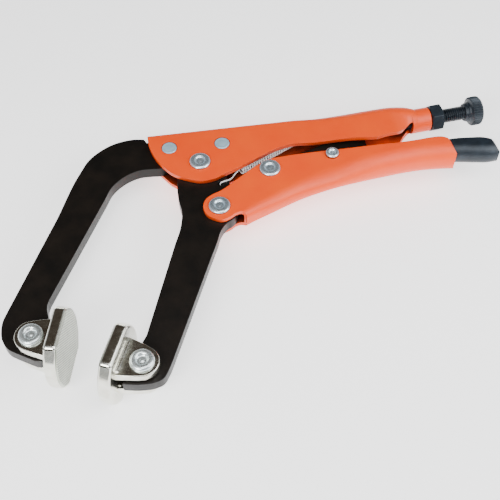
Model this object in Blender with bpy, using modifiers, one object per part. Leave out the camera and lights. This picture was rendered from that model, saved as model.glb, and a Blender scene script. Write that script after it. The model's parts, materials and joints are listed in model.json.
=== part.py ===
"""Locking C-clamp pliers with swivel pads, built as separate named pieces.

The tool lies on its side. +X runs along the adjusting screw towards the knob, +Y points to the
back of the upper handle and +Z along the pivot pins. Sizes are in millimetres, measured from the
jaw pivot on the tool's mid-plane, and MM turns them into metres. Every moving piece hangs on an
empty that lies on its joint axis.
"""

import math

import bmesh
import bpy
import numpy as np
from mathutils import Matrix, Vector

MM = 0.001
TOOL_ORIGIN = (-32.29, 60.43, 22.5)

# Pivot axes, seen along the pins.
JAW_PIVOT = (0.0, 0.0)
HANDLE_PIVOT = (4.7, -39.6)
TOGGLE_PIVOT = (43.7, -16.5)
LEVER_PIVOT = (87.2, -14.0)
FRONT_JAW_RIVET = (-17.7, 16.7)
REAR_JAW_RIVET = (17.7, 12.8)
FIXED_PAD_PIVOT = (-120.0, -109.6)
MOVING_PAD_PIVOT = (-61.0, -140.4)
FIXED_PAD_ANGLE = -19.3
MOVING_PAD_ANGLE = 152.0

# Sheet and bar stock.
BAR = 8.0
LINK = 6.0
WALL = 2.9
LEVER_WALL = 1.9
CHEEK = 7.3
GAP = 0.3

# Rivets.
PIN_RADIUS = 4.0
SMALL_PIN_RADIUS = 2.2
HEAD_RADIUS = 7.0
SMALL_HEAD_RADIUS = 4.5
HEAD_HEIGHT = 1.4
FLUSH_RIVET_RADIUS = 5.0

# Adjusting screw, M10 x 1.5.
SCREW_Y = 8.4
SCREW_RADIUS = 4.9
SCREW_TIP_X = 120.2
COLLAR_X = (150.6, 164.4)
COLLAR_RADIUS = 8.3
COLLAR_BORE = 5.3
NUT_X = (164.8, 173.3)
NUT_ACROSS_FLATS = 17.0
HUB_X = 190.6
HUB_RADIUS = 6.2
DISC_X = (194.8, 202.4)
DISC_RADIUS = 10.1

# Swivel pads, measured from their rivet: the plate lies across the pad's own +X.
PAD_BACK = 12.0
PAD_FACE = 19.5
PAD_EDGE = 1.8
PAD_HALF_WIDTH = 22.5
PAD_END_HALF_LENGTH = 13.0
PAD_BULGE = 22.6
EAR_RADIUS = 9.7
EAR_Z = (5.5, 11.0)
WASHER_RADIUS = 7.8
PAD_HEAD_RADIUS = 7.2
PAD_HEAD_HEIGHT = 2.2

# Tension spring.
SPRING_RADIUS = 2.3
WIRE_RADIUS = 0.5
SPRING_PITCH = 2.3
SPRING_START = (25.3, -8.0)
SPRING_END = (67.0, 9.0)
SPRING_HOLE = (9.6, -18.6)
TONGUE = (77.5, 13.0)
TONGUE_WIDTH = 2.4

CORNER = "corner"
ORANGE = ("orange_powder_coat", (0.80, 0.16, 0.03), 0.42, 0.0)
BLACK = ("black_oxide", (0.02, 0.018, 0.016), 0.45, 0.6)
ZINC = ("bright_zinc", (0.62, 0.66, 0.70), 0.28, 0.95)
PAD_ZINC = ("pad_zinc", (0.60, 0.60, 0.55), 0.32, 0.95)
PHOSPHATE = ("dark_phosphate", (0.035, 0.045, 0.055), 0.5, 0.7)


def clear_scene():
    for obj in list(bpy.data.objects):
        bpy.data.objects.remove(obj)


def new_collection(name):
    collection = bpy.data.collections.new(name)
    bpy.context.scene.collection.children.link(collection)
    return collection


def new_material(name, colour, roughness, metallic):
    material = bpy.data.materials.new(name)
    material.use_nodes = True
    shader = material.node_tree.nodes["Principled BSDF"]
    shader.inputs["Base Color"].default_value = (*colour, 1.0)
    shader.inputs["Roughness"].default_value = roughness
    shader.inputs["Metallic"].default_value = metallic
    return material


def temporary(data):
    obj = bpy.data.objects.new("temporary", data)
    bpy.context.scene.collection.objects.link(obj)
    return obj


def evaluated(obj):
    """The object's finished mesh with its seams welded; the object itself is removed."""
    bpy.context.view_layer.update()
    graph = bpy.context.evaluated_depsgraph_get()
    mesh = bpy.data.meshes.new_from_object(obj.evaluated_get(graph))
    mesh.transform(obj.matrix_world)
    bpy.data.objects.remove(obj)
    work = bmesh.new()
    work.from_mesh(mesh)
    bmesh.ops.remove_doubles(work, verts=work.verts, dist=0.002 * MM)
    work.to_mesh(mesh)
    work.free()
    return mesh


def arc(centre, radius, start, end, step=30.0):
    """Points on a circle from one angle to another, in degrees, both ends included."""
    count = max(2, round(abs(end - start) / step) + 1)
    angles = np.radians(np.linspace(start, end, count))
    return [(centre[0] + radius * math.cos(a), centre[1] + radius * math.sin(a)) for a in angles]


def hole(centre, radius):
    return arc(centre, radius, 0.0, 315.0, 45.0)


def plate(outline, holes=(), thickness=BAR, middle=0.0):
    """A flat plate: points are smooth unless they end in CORNER."""
    curve = bpy.data.curves.new("outline", "CURVE")
    curve.dimensions = "2D"
    curve.fill_mode = "BOTH"
    curve.extrude = 0.5 * thickness * MM
    curve.resolution_u = 3
    for loop in (outline, *holes):
        spline = curve.splines.new("BEZIER")
        spline.bezier_points.add(len(loop) - 1)
        spline.use_cyclic_u = True
        for point, place in zip(spline.bezier_points, loop):
            kind = "VECTOR" if CORNER in place else "AUTO"
            point.co = (place[0] * MM, place[1] * MM, 0.0)
            point.handle_left_type = kind
            point.handle_right_type = kind
    obj = temporary(curve)
    obj.location.z = middle * MM
    return evaluated(obj)


def turned(profile, centre, along="Z", closed=False, steps=24):
    """A turned piece: profile is (radius, distance along the axis), top to bottom."""
    mesh = bpy.data.meshes.new("profile")
    places = [(radius * MM, 0.0, height * MM) for radius, height in profile]
    edges = [(i, i + 1) for i in range(len(places) - 1)]
    if closed:
        edges.append((len(places) - 1, 0))
    mesh.from_pydata(places, edges, [])
    obj = temporary(mesh)
    screw = obj.modifiers.new("turn", "SCREW")
    screw.axis = "Z"
    screw.steps = steps
    screw.render_steps = steps
    screw.use_merge_vertices = True
    screw.merge_threshold = 0.00001
    if along == "X":
        obj.rotation_euler = (0.0, math.pi / 2, 0.0)
    obj.location = (centre[0] * MM, centre[1] * MM, 0.0)
    return evaluated(obj)


def combine(first, second, operation):
    """One mesh from two, by UNION, DIFFERENCE or INTERSECT."""
    body = temporary(first)
    tool = temporary(second)
    boolean = body.modifiers.new("combine", "BOOLEAN")
    boolean.operation = operation
    boolean.object = tool
    mesh = evaluated(body)
    bpy.data.objects.remove(tool)
    return mesh


def bevelled(mesh, width):
    work = bmesh.new()
    work.from_mesh(mesh)
    bmesh.ops.dissolve_limit(work, angle_limit=0.002, verts=work.verts, edges=work.edges)
    work.to_mesh(mesh)
    work.free()
    obj = temporary(mesh)
    bevel = obj.modifiers.new("edge", "BEVEL")
    bevel.width = width * MM
    bevel.segments = 1
    bevel.limit_method = "ANGLE"
    bevel.angle_limit = math.radians(50.0)
    return evaluated(obj)


def box(low, high):
    mesh = bpy.data.meshes.new("box")
    work = bmesh.new()
    bmesh.ops.create_cube(work, size=1.0)
    size = Vector(high) - Vector(low)
    middle = (Vector(high) + Vector(low)) * 0.5
    bmesh.ops.scale(work, vec=size * MM, verts=work.verts)
    bmesh.ops.translate(work, vec=middle * MM, verts=work.verts)
    work.to_mesh(mesh)
    work.free()
    return mesh


def wire(points, radius):
    curve = bpy.data.curves.new("wire", "CURVE")
    curve.dimensions = "3D"
    curve.bevel_depth = radius * MM
    curve.bevel_resolution = 1
    curve.use_fill_caps = True
    spline = curve.splines.new("POLY")
    spline.points.add(len(points) - 1)
    for point, place in zip(spline.points, points):
        point.co = (place[0] * MM, place[1] * MM, place[2] * MM, 1.0)
    return evaluated(temporary(curve))


def flowing(stations, x):
    """Station values at each x, along a cubic curve through the stations."""
    table = np.array(stations, dtype=float)
    places = table[:, 0]
    slopes = np.gradient(table, places, axis=0)
    index = np.clip(np.searchsorted(places, x, side="right") - 1, 0, len(places) - 2)
    span = (places[index + 1] - places[index])[:, None]
    t = (x - places[index])[:, None] / span
    start = (1 + 2 * t) * (1 - t) ** 2 * table[index] + t * (1 - t) ** 2 * span * slopes[index]
    end = t * t * (3 - 2 * t) * table[index + 1] + t * t * (t - 1) * span * slopes[index + 1]
    return start + end


def half_section(half, wide, high, cheek, curl, wall):
    """Outer and inner line of half a channel, from the rim up to the middle of the web.

    The corner is a quarter ellipse that goes on for curl degrees below the cheek's top, so that
    the cheek turns in, and the cheek carries on straight. Rows are (across, up from the web).
    """
    turn = np.radians(np.linspace(-curl, 90.0, 6))
    outer = np.stack([half - wide + wide * np.cos(turn), high * np.sin(turn) - high], axis=1)
    thin_wide = max(wide - wall, 0.4)
    thin_high = max(high - wall, 0.4)
    across = half - wall - thin_wide + thin_wide * np.cos(turn)
    inner = np.stack([across, thin_high * np.sin(turn) - thin_high - wall], axis=1)
    down = np.array([wide * math.sin(turn[0]), -high * math.cos(turn[0])])
    down /= np.linalg.norm(down)
    rim = outer[0] + cheek * down
    inner_rim = rim + wall * np.array([down[1], -down[0]])
    return np.vstack([rim, outer]), np.vstack([inner_rim, inner])


def channel(stations, step, wall, web):
    """A pressed channel whose web is at +Y (web = 1) or at -Y (web = -1).

    Each station is (x, half width, corner width, corner height, web y, cheek length, curl). The
    sheet's section is a closed ring, joined from rib to rib and closed at both ends.
    """
    first, last = stations[0][0], stations[-1][0]
    count = round((last - first) / step) + 1
    ribs = []
    for x, half, wide, high, web_y, cheek, curl in flowing(stations, np.linspace(first, last, count)):
        outer, inner = half_section(half, wide, high, cheek, curl, wall)
        mirror = np.array([-1.0, 1.0])
        ring = np.vstack([outer, (outer * mirror)[::-1], inner * mirror, inner[::-1]])
        ribs.append(np.stack([np.full(len(ring), x), web_y + web * ring[:, 1], ring[:, 0]], axis=1))
    grid = np.array(ribs) * MM
    ring = grid.shape[1]
    faces = []
    for i in range(len(ribs) - 1):
        for j in range(ring):
            here, there = i * ring + j, i * ring + (j + 1) % ring
            faces.append((here, here + ring, there + ring, there))
    for end in (0, len(ribs) - 1):
        for j in range(ring // 2 - 1):
            opposite = ring - 1 - j
            face = [end * ring + k for k in (j, j + 1, opposite - 1, opposite)]
            faces.append(face if end == 0 else face[::-1])
    if web < 0:
        faces = [face[::-1] for face in faces]
    mesh = bpy.data.meshes.new("channel")
    mesh.from_pydata(grid.reshape(-1, 3).tolist(), [], faces)
    return mesh


class Bench:
    """The collection that the finished pieces go in, and their materials."""

    def __init__(self, name):
        self.collection = new_collection(name)
        self.materials = {}
        self.root = self.axis("tool_frame", (0.0, 0.0), None)
        self.root.location = [value * MM for value in TOOL_ORIGIN]

    def axis(self, name, centre, parent, height=0.0):
        """An empty on a joint's axis, remembered with its place in the tool."""
        empty = bpy.data.objects.new(name + "_axis", None)
        empty.empty_display_size = 0.01
        empty["centre"] = (centre[0], centre[1], height)
        if parent:
            empty.parent = parent
            offset = Vector(empty["centre"]) - Vector(parent["centre"])
            empty.location = offset * MM
        self.collection.objects.link(empty)
        return empty

    def add(self, name, mesh, axis, finish):
        """Place a mesh made in tool coordinates on its axis."""
        centre = Vector(axis["centre"])
        mesh.transform(Matrix.Translation(-centre * MM))
        mesh.name = name
        obj = bpy.data.objects.new(name, mesh)
        obj.parent = axis
        if finish[0] not in self.materials:
            self.materials[finish[0]] = new_material(*finish)
        mesh.materials.clear()
        mesh.materials.append(self.materials[finish[0]])
        self.collection.objects.link(obj)
        mesh.shade_smooth()
        mesh.set_sharp_from_angle(angle=math.radians(35.0))
        return obj


def upper_handle():
    """Pressed channel, open below, closed behind into the threaded collar."""
    sheet = channel(
        [
            (-38, 7.3, 3.3, 3.3, 32.7, 54, 0),
            (56, 7.3, 3.3, 3.3, 24.9, 46, 0),
            (71, 7.3, 3.3, 3.3, 23.6, 44, 0),
            (84, 8.0, 5.5, 6.0, 22.5, 30, 0),
            (104, 10.0, 9.8, 9.8, 22.2, 24, 0),
            (118, 10.0, 9.8, 9.8, 22.2, 21, 0),
            (127, 10.0, 9.8, 9.8, 22.1, 19.5, 0),
            (138, 9.9, 9.7, 9.7, 21.6, 17, 4),
            (145, 9.5, 9.3, 9.3, 20.4, 8.5, 22),
            (150, 9.0, 8.8, 8.8, 19.0, 2.0, 42),
            (154, 8.6, 8.4, 8.4, 17.0, 0.8, 50),
        ],
        9.0, WALL, 1,
    )
    side = [
        (-29.4, 40, CORNER), (-30.6, 20), (-28.1, 8.9), (-24.1, 0.8), (-20.5, -5),
        (-11.2, -12.5), (-2, -16.6), (6.3, -16.6), (15, -13.6), (24.1, -10.6), (40, -4.8),
        (54.7, 0.2), (66, 1.2), (76.8, -0.9), (99, -4.3), (122.5, -8.4, CORNER), (124, -16, CORNER),
        (170, -16, CORNER), (170, 40, CORNER),
    ]
    bores = [
        hole(JAW_PIVOT, PIN_RADIUS + GAP),
        hole(FRONT_JAW_RIVET, FLUSH_RIVET_RADIUS + GAP),
        hole(REAR_JAW_RIVET, FLUSH_RIVET_RADIUS + GAP),
    ]
    sheet = combine(sheet, plate(side, bores, 40.0), "INTERSECT")
    collar = turned(
        [
            (COLLAR_RADIUS - 0.6, COLLAR_X[1]), (COLLAR_RADIUS, COLLAR_X[1] - 0.6),
            (COLLAR_RADIUS, COLLAR_X[0]), (COLLAR_BORE, COLLAR_X[0]), (COLLAR_BORE, COLLAR_X[1]),
        ],
        (0.0, SCREW_Y), "X", True,
    )
    half = TONGUE_WIDTH / 2
    tongue = box((TONGUE[0] - half, TONGUE[1] - 2.0, -half), (TONGUE[0] + half, 21.5, half))
    return combine(combine(sheet, collar, "UNION"), tongue, "UNION")


def fixed_jaw():
    """Bar jaw, its tang riveted between the cheeks of the upper handle."""
    outline = [
        (24, 24, CORNER), (-31.5, 27.6, CORNER), (-33, 31.3, CORNER), (-39, 32.7), (-45.7, 32.9),
        (-55.1, 31.2), (-63.5, 27.3), (-71.3, 21.5), (-79.2, 10.5), (-98, -24.4, CORNER),
        (-132.9, -85.7, CORNER), (-136.3, -92.3), (-137.6, -98.3), (-137.5, -104.6),
        (-134.5, -111.5), (-130.3, -115.2, CORNER), (-120.2, -122.6, CORNER),
        (-116.3, -123.6, CORNER), *arc(FIXED_PAD_PIVOT, 11.5, -60, 30),
        (-109.9, -94.6, CORNER), (-110.2, -91.7), (-110, -87.5), (-108.4, -83.5, CORNER),
        (-66, -15.3, CORNER), (-60, -5.9), (-54, -0.8), (-46.8, 2.8), (-39.9, 4.3),
        (-33.3, 3.8), (-26.7, 2.7, CORNER), (-17, 4, CORNER),
        *arc(JAW_PIVOT, 14.2, 155, 20), (24, 4.0, CORNER),
    ]
    bores = [
        hole(FRONT_JAW_RIVET, FLUSH_RIVET_RADIUS + GAP),
        hole(REAR_JAW_RIVET, FLUSH_RIVET_RADIUS + GAP),
        hole(FIXED_PAD_PIVOT, PIN_RADIUS + GAP),
    ]
    return plate(outline, bores)


def moving_jaw():
    """Bar jaw that turns on the upper handle and carries the lower handle."""
    outline = [
        *arc(JAW_PIVOT, 13.2, 0, 180), (-15.5, -4), (-17.2, -10), (-18.7, -16.5), (-19.5, -27.2),
        (-19.4, -36.5), (-22.4, -48.1), (-28.5, -61, CORNER), (-56, -120.5, CORNER),
        (-58.2, -123.4, CORNER), *arc(MOVING_PAD_PIVOT, 11.5, 102, 192),
        (-74.3, -148.4, CORNER), (-64.6, -151), (-56.3, -151.6), (-51.6, -150.5),
        (-47.3, -145.7), (-43.9, -140.1, CORNER), (-9.2, -77.3, CORNER), (-1.5, -63.5),
        (1.8, -57.1), (7.6, -51.4), *arc(HANDLE_PIVOT, 12.0, -60, 0), (15.6, -20),
    ]
    bores = [
        hole(JAW_PIVOT, PIN_RADIUS + GAP),
        hole(HANDLE_PIVOT, PIN_RADIUS + GAP),
        hole(MOVING_PAD_PIVOT, PIN_RADIUS + GAP),
        hole(SPRING_HOLE, 1.5),
    ]
    return plate(outline, bores)


def lower_handle():
    """Pressed channel, open above, flat cheeks in front and a half-round grip behind."""
    sheet = channel(
        [
            (-12, 7.3, 3.3, 3.3, -64, 50, 0),
            (10, 7.3, 3.6, 3.6, -54.2, 45, 0),
            (22, 7.3, 4.5, 5.4, -49.9, 40, 0),
            (38, 7.4, 6.2, 7.5, -45.6, 38, 0),
            (61, 7.6, 7.2, 9.6, -39.2, 34, 0),
            (78, 7.6, 7.4, 12.0, -36.5, 26, 0),
            (90, 8.0, 7.8, 12.0, -35.0, 18, 0),
            (100, 9.4, 9.2, 12.0, -33.9, 13, 0),
            (118, 10.8, 10.6, 11.0, -32.5, 7.0, 0),
            (132, 11.0, 10.8, 10.8, -32.0, 5.0, 0),
            (146, 11.0, 10.8, 10.8, -32.5, 5.0, 0),
            (160, 11.0, 10.8, 10.8, -34.3, 7.5, 0),
            (172, 11.0, 10.8, 10.8, -36.6, 10.0, 0),
        ],
        9.0, WALL, -1,
    )
    side = [
        *arc(HANDLE_PIVOT, 10.4, 115, 240), (3.6, -50.9), (9.1, -49.9), (14.2, -47.4),
        (17.6, -47.2), (19.8, -49.4), (20.3, -53, CORNER), (20.3, -70, CORNER),
        (150, -70, CORNER), (151.5, -38.5, CORNER), (160, -36.5), (165.6, -33), (168.2, -28),
        (167.2, -23), (163, -19), (156, -17.9), (146, -17.8), (132, -17.2), (118, -15.6),
        (104, -13.8), (94, -11.9), (80, -9.9), (68, -9.0), (56, -8.5), (44, -9.0), (36, -12.0),
        (23.4, -18.9), (8.2, -27.4),
    ]
    bores = [
        hole(HANDLE_PIVOT, PIN_RADIUS + GAP),
        hole(TOGGLE_PIVOT, PIN_RADIUS + GAP),
        hole(LEVER_PIVOT, SMALL_PIN_RADIUS + GAP),
    ]
    return combine(sheet, plate(side, bores, 40.0), "INTERSECT")


def toggle_link():
    """Flat link: eye in front, tall tail that bears on the screw."""
    outline = [
        *arc(TOGGLE_PIVOT, 7.5, 106, 270), (60, -19.5), (78, -9.5), (96, -8.2), (104, -9.0),
        (114, -9.4, CORNER), (114, 10, CORNER), (107, 10), (98, 5.5), (80, -1.5),
    ]
    return plate(outline, [hole(TOGGLE_PIVOT, PIN_RADIUS + GAP)], LINK)


def release_lever():
    """Channel lever nested in the lower handle, its tail reaching out behind."""
    sheet = channel(
        [
            (78, 4.0, 3.0, 3.0, -19.5, 16, 0),
            (100, 4.0, 3.0, 3.0, -23.5, 16, 0),
            (112, 4.4, 3.6, 4.0, -26.0, 14, 0),
            (126, 6.2, 6.0, 6.0, -28.0, 6, 0),
            (140, 7.4, 7.2, 7.6, -28.6, 1.5, 0),
            (158, 7.8, 7.6, 8.0, -29.6, 2, 0),
            (171, 8.0, 7.8, 8.2, -31.8, 4, 0),
            (184, 8.0, 7.8, 8.2, -35.2, 8, 0),
            (192, 8.0, 7.8, 8.2, -37.0, 10, 0),
            (200, 8.0, 7.8, 8.2, -37.0, 10, 0),
        ],
        9.0, LEVER_WALL, -1,
    )
    side = [
        *arc(LEVER_PIVOT, 4.0, 80, 250), (95, -40, CORNER), (190, -60, CORNER),
        (195.5, -36.5), (197.6, -33), (196.8, -29.5), (194, -25.5), (190.5, -23.2),
        (184, -21.8), (170, -19.8), (158, -19.9), (146, -21.8), (132, -20.9), (118, -17.9),
        (106, -14.8), (96, -12.2),
    ]
    return combine(sheet, plate(side, [hole(LEVER_PIVOT, SMALL_PIN_RADIUS + GAP)], 40.0), "INTERSECT")


def headed_rivet(centre, pin, head, face, height):
    """Rivet with a low hollow head on both faces of the tool."""
    bottom = face + GAP
    top = bottom + height
    half = [
        (0.0, top - 0.5 * height), (0.3 * head, top - 0.5 * height), (0.6 * head, top),
        (0.88 * head, top), (head, bottom), (pin, bottom),
    ]
    profile = half + [(radius, -z) for radius, z in reversed(half)]
    return turned(profile, centre)


def flush_rivet(centre):
    face = CHEEK + 0.25
    rim = FLUSH_RIVET_RADIUS - 0.5
    profile = [(0.0, face), (rim, face), (FLUSH_RIVET_RADIUS, face - 0.4)]
    profile += [(radius, -z) for radius, z in reversed(profile)]
    return turned(profile, centre)


def tension_spring():
    """Hook in the moving jaw, close coil, and an eye round the tongue of the upper handle."""
    start = np.array(SPRING_START)
    run = np.array(SPRING_END) - start
    length = np.linalg.norm(run)
    forward = run / length
    side = np.array([-forward[1], forward[0]])
    turns = round(length / SPRING_PITCH)
    angles = np.linspace(0.0, 2 * math.pi * turns, 7 * turns + 1)
    along = np.linspace(0.0, length, len(angles))[:, None]
    centre_line = start + along * forward
    coil_xy = centre_line + SPRING_RADIUS * np.sin(angles)[:, None] * side
    coil = np.column_stack([coil_xy, SPRING_RADIUS * np.cos(angles)])
    outer = BAR / 2 + 0.75
    x, y = SPRING_HOLE
    hook = [
        (x, y, -3.0), (x, y, 3.4), (x + 0.6, y, 4.4), (x + 1.9, y + 0.1, outer),
        (15.8, -17.8, outer - 0.05), (17.8, -15.7, 3.0), (21.5, -11.6, 2.6),
    ]
    eye_radius = TONGUE_WIDTH / 2 + 1.5
    eye = [
        (TONGUE[0] + eye_radius * math.cos(a), TONGUE[1], eye_radius * math.sin(a))
        for a in np.radians(np.arange(140.0, -161.0, -30.0))
    ]
    lead = [(70.0, 10.6, 2.3), (73.0, 12.2, 2.4)]
    return wire(hook + [tuple(p) for p in coil] + lead + eye, WIRE_RADIUS)


def adjusting_screw():
    tip = SCREW_TIP_X
    end = DISC_X[1] - 3.2
    profile = [
        (0.0, end), (SCREW_RADIUS - 0.4, end), (SCREW_RADIUS, end - 0.8), (SCREW_RADIUS, tip + 1.5),
        (SCREW_RADIUS - 1.4, tip), (0.0, tip),
    ]
    return turned(profile, (0.0, SCREW_Y), "X")


def screw_knob():
    """Stepped hub and knurled disc, pressed on the end of the screw."""
    bore = SCREW_RADIUS + GAP
    floor = DISC_X[1] - 3.2 + GAP
    profile = [
        (0.0, DISC_X[1]), (DISC_RADIUS - 1.2, DISC_X[1]), (DISC_RADIUS, DISC_X[1] - 1.2),
        (DISC_RADIUS, DISC_X[0] + 0.8), (DISC_RADIUS - 0.8, DISC_X[0]), (7.0, DISC_X[0] - 0.8),
        (HUB_RADIUS + 0.5, HUB_X + 2.0), (HUB_RADIUS, HUB_X), (bore, HUB_X), (bore, floor),
        (0.0, floor),
    ]
    return turned(profile, (0.0, SCREW_Y), "X", steps=32)


def lock_nut():
    """Hexagon nut with chamfered corners, clamped against the collar."""
    corner_radius = NUT_ACROSS_FLATS / math.sqrt(3)
    hexagon = [
        (corner_radius * math.cos(a), corner_radius * math.sin(a), CORNER)
        for a in np.radians(np.arange(0.0, 360.0, 60.0))
    ]
    width = NUT_X[1] - NUT_X[0]
    blank = plate(hexagon, [hole((0.0, 0.0), SCREW_RADIUS + GAP)], width)
    middle = 0.5 * (NUT_X[0] + NUT_X[1])
    turn = Matrix.Rotation(math.radians(90.0), 4, "Y") @ Matrix.Rotation(math.radians(8.0), 4, "Z")
    blank.transform(Matrix.Translation((middle * MM, SCREW_Y * MM, 0.0)) @ turn)
    slope = corner_radius + 0.4
    flat = NUT_ACROSS_FLATS / 2 - 0.2
    drop = (slope - flat) * math.tan(math.radians(30.0))
    cone = turned(
        [
            (0.0, NUT_X[1]), (flat, NUT_X[1]), (slope, NUT_X[1] - drop), (slope, NUT_X[0] + drop),
            (flat, NUT_X[0]), (0.0, NUT_X[0]),
        ],
        (0.0, SCREW_Y), "X", steps=36,
    )
    return combine(blank, cone, "INTERSECT")


def pad(pivot, angle):
    """Swivel pad: barrel-shaped plate across +X with two ears round the rivet."""
    rim = [
        (-PAD_END_HALF_LENGTH, -PAD_HALF_WIDTH, CORNER), (PAD_END_HALF_LENGTH, -PAD_HALF_WIDTH, CORNER),
        (19.6, -13), (PAD_BULGE, 0), (19.6, 13), (PAD_END_HALF_LENGTH, PAD_HALF_WIDTH, CORNER),
        (-PAD_END_HALF_LENGTH, PAD_HALF_WIDTH, CORNER), (-19.6, 13), (-PAD_BULGE, 0), (-19.6, -13),
    ]
    body = bevelled(plate(rim, (), PAD_FACE - PAD_BACK), PAD_EDGE)
    upright = Matrix(((0, 0, 1, 0), (1, 0, 0, 0), (0, 1, 0, 0), (0, 0, 0, 1)))
    body.transform(Matrix.Translation(((PAD_FACE + PAD_BACK) / 2 * MM, 0, 0)) @ upright)
    root = (PAD_BACK + 1.0, PAD_END_HALF_LENGTH)
    reach = math.hypot(*root)
    tangent = math.degrees(math.atan2(root[1], root[0]) + math.acos(EAR_RADIUS / reach))
    ear = [(*root, CORNER), *arc((0, 0), EAR_RADIUS, tangent, 360 - tangent), (root[0], -root[1], CORNER)]
    for side in (-1, 1):
        middle = side * (EAR_Z[0] + EAR_Z[1]) / 2
        cheek = plate(ear, [hole((0, 0), PIN_RADIUS + GAP)], EAR_Z[1] - EAR_Z[0], middle)
        body = combine(body, cheek, "UNION")
    place = Matrix.Translation((pivot[0] * MM, pivot[1] * MM, 0.0))
    body.transform(place @ Matrix.Rotation(math.radians(angle), 4, "Z"))
    return body


def washer(centre, side):
    low = side * (BAR / 2 + GAP)
    high = side * (EAR_Z[0] - GAP)
    top, bottom = max(low, high), min(low, high)
    bore = PIN_RADIUS + GAP
    profile = [(WASHER_RADIUS, top), (WASHER_RADIUS, bottom), (bore, bottom), (bore, top)]
    return turned(profile, centre, "Z", True)


def build():
    clear_scene()
    bench = Bench("locking_pliers")
    frame = bench.root
    jaw = bench.axis("moving_jaw", JAW_PIVOT, frame)
    handle = bench.axis("lower_handle", HANDLE_PIVOT, jaw)
    link = bench.axis("toggle_link", TOGGLE_PIVOT, handle)
    lever = bench.axis("release_lever", LEVER_PIVOT, handle)
    screw = bench.axis("adjusting_screw", (SCREW_TIP_X, SCREW_Y), frame)
    fixed_swivel = bench.axis("fixed_pad", FIXED_PAD_PIVOT, frame)
    moving_swivel = bench.axis("moving_pad", MOVING_PAD_PIVOT, jaw)

    bench.add("upper_handle", upper_handle(), frame, ORANGE)
    bench.add("fixed_jaw", fixed_jaw(), frame, BLACK)
    bench.add("front_jaw_rivet", flush_rivet(FRONT_JAW_RIVET), frame, ZINC)
    bench.add("rear_jaw_rivet", flush_rivet(REAR_JAW_RIVET), frame, ZINC)
    bench.add("moving_jaw", moving_jaw(), jaw, BLACK)
    bench.add("lower_handle", lower_handle(), handle, ORANGE)
    bench.add("toggle_link", toggle_link(), link, BLACK)
    bench.add("release_lever", release_lever(), lever, PHOSPHATE)
    bench.add("tension_spring", tension_spring(), frame, ZINC)

    big = (PIN_RADIUS, HEAD_RADIUS, CHEEK, HEAD_HEIGHT)
    small = (SMALL_PIN_RADIUS, SMALL_HEAD_RADIUS, CHEEK + 1.0, HEAD_HEIGHT)
    bench.add("jaw_pivot_rivet", headed_rivet(JAW_PIVOT, *big), frame, ZINC)
    bench.add("handle_pivot_rivet", headed_rivet(HANDLE_PIVOT, *big), handle, ZINC)
    bench.add("toggle_rivet", headed_rivet(TOGGLE_PIVOT, *big), handle, ZINC)
    bench.add("release_lever_rivet", headed_rivet(LEVER_PIVOT, *small), handle, ZINC)

    bench.add("adjusting_screw", adjusting_screw(), screw, PHOSPHATE)
    bench.add("screw_knob", screw_knob(), screw, PHOSPHATE)
    bench.add("lock_nut", lock_nut(), screw, PHOSPHATE)

    swivels = (
        ("fixed_pad", FIXED_PAD_PIVOT, FIXED_PAD_ANGLE, fixed_swivel, frame),
        ("moving_pad", MOVING_PAD_PIVOT, MOVING_PAD_ANGLE, moving_swivel, jaw),
    )
    for name, pivot, angle, swivel, carrier in swivels:
        bench.add(name, pad(pivot, angle), swivel, PAD_ZINC)
        pad_rivet = headed_rivet(pivot, PIN_RADIUS, PAD_HEAD_RADIUS, EAR_Z[1], PAD_HEAD_HEIGHT)
        bench.add(name + "_rivet", pad_rivet, carrier, PAD_ZINC)
        for label, side in (("near", 1), ("far", -1)):
            bench.add(f"{name}_washer_{label}", washer(pivot, side), carrier, PAD_ZINC)


build()
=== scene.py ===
"""Looks of the C-clamp locking pliers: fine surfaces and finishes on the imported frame.

Sizes are in millimetres in the tool's own frame: the jaw pivot is the origin, +X runs along the
adjusting screw to the knob, +Y to the back of the upper handle and +Z along the pins.
"""

from __future__ import annotations

import json
import logging
import math
from dataclasses import dataclass, field
from enum import Enum

import bmesh
import bpy
import numpy as np
from mathutils import Matrix, Vector


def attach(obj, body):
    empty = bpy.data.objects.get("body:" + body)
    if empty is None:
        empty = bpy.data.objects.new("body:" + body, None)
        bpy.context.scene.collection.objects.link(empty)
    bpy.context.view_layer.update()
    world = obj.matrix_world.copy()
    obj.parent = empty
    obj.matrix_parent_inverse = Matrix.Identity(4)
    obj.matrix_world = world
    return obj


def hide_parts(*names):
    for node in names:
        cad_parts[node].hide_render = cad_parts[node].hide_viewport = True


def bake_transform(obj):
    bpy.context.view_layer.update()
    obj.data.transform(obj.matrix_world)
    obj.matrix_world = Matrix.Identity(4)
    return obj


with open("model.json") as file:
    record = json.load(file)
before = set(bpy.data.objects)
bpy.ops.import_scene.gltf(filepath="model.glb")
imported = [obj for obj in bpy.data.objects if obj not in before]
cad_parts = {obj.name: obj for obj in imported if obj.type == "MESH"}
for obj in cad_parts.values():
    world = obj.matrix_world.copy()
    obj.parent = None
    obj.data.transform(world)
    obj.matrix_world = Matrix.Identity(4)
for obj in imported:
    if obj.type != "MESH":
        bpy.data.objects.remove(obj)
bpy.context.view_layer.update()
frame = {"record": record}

MM = 0.001
JOINTS = {joint["name"]: joint for joint in frame["record"]["behaviour"]["joints"]}
ORIGIN = np.array(JOINTS["jaw_opening"]["pos_m"])
LOG = logging.getLogger("pliers")

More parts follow.
